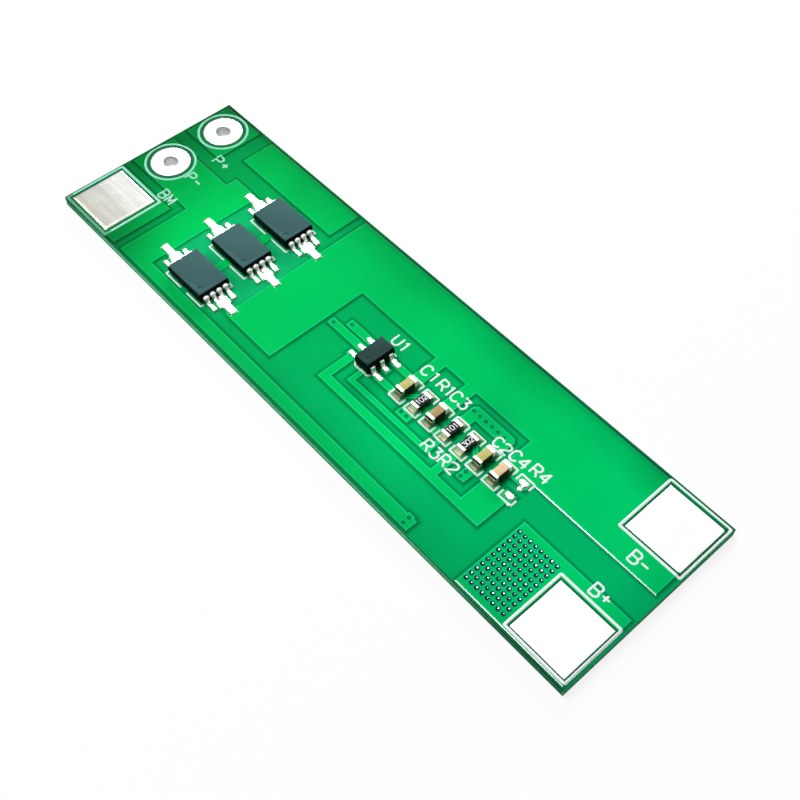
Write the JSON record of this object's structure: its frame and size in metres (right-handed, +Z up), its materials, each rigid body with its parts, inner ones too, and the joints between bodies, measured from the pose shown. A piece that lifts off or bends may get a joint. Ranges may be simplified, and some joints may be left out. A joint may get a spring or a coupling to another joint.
{
  "type": "battery protection board",
  "caption": "Narrow green circuit board for a battery pack, with square weld pads, round output terminals, power transistors, a small control chip and a row of chip parts.",
  "frame": {"origin": "middle of the underside of the board", "axes": "+X along the board to the end with the B+ and B- weld pads, +Y across it to the edge that B- and P+ lie on, +Z up from the side with the parts"},
  "size_m": [0.06, 0.018, 0.0022],
  "materials": {
    "laminate": "matt, glass and epoxy",
    "copper": "plain",
    "solder_mask": "glossy green",
    "tin": "bright, slightly streaked",
    "moulding": "fine matt",
    "lead_frame": "satin",
    "solder": "bright",
    "ceramic": "matt",
    "end_metal": "satin",
    "alumina": "matt",
    "black_glass": "glossy"
  },
  "bodies": {
    "root": {"laminate": "laminate", "via_barrels": "copper", "copper_b_minus": "copper", "copper_b_plus": "copper", "copper_p_plus": "copper", "copper_upper_pour": "copper", "copper_p_minus": "copper", "copper_bm": "copper", "copper_control_tracks": "copper", "copper_transistor_lands": "copper", "copper_bottom_plane": "copper", "copper_bottom_lands": "copper", "solder_mask_top": "solder_mask", "solder_mask_bottom": "solder_mask", "p_plus_terminal": "tin", "p_minus_terminal": "tin", "b_minus_pad": "tin", "b_plus_pad": "tin", "bm_pad": "tin", "q1_case": "moulding", "q1_leads": "lead_frame", "q1_solder": "solder", "q2_case": "moulding", "q2_leads": "lead_frame", "q2_solder": "solder", "q3_case": "moulding", "q3_leads": "lead_frame", "q3_solder": "solder", "u1_case": "moulding", "u1_leads": "lead_frame", "u1_solder": "solder", "c1_ceramic": "ceramic", "c1_end_caps": "end_metal", "c2_ceramic": "ceramic", "c2_end_caps": "end_metal", "c3_ceramic": "ceramic", "c3_end_caps": "end_metal", "c4_ceramic": "ceramic", "c4_end_caps": "end_metal", "r1_substrate": "alumina", "r1_coat": "black_glass", "r1_ends": "end_metal", "r2_substrate": "alumina", "r2_coat": "black_glass", "r2_ends": "end_metal", "r3_substrate": "alumina", "r3_coat": "black_glass", "r3_ends": "end_metal", "chip_solder": "solder", "r4_solder": "solder"}
  },
  "joints": []
}
